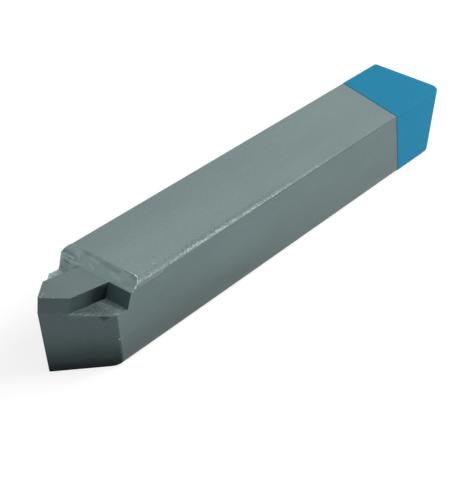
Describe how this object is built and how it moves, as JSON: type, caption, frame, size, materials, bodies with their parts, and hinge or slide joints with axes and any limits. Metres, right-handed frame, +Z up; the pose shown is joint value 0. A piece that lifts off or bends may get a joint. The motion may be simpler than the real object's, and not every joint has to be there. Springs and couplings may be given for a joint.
{
  "type": "brazed turning tool",
  "caption": "Square steel lathe tool shank with a pointed carbide tip brazed into a raked seat, and a painted butt end.",
  "frame": {"origin": "middle of the tool's length and width, on the plane on which it rests", "axes": "+X along the shank from the butt to the cutting point, +Z up out of the face that carries the tip"},
  "size_m": [0.1219, 0.0162, 0.0175],
  "materials": {
    "shank_steel": "dull oiled steel with a fine ground grain",
    "carbide": "satin ground carbide",
    "braze": "dull tarnished braze",
    "blue_paint": "flat blue enamel"
  },
  "bodies": {
    "root": {"shank": "shank_steel", "carbide_tip": "carbide", "braze_layer": "braze", "end_paint": "blue_paint"}
  },
  "joints": []
}
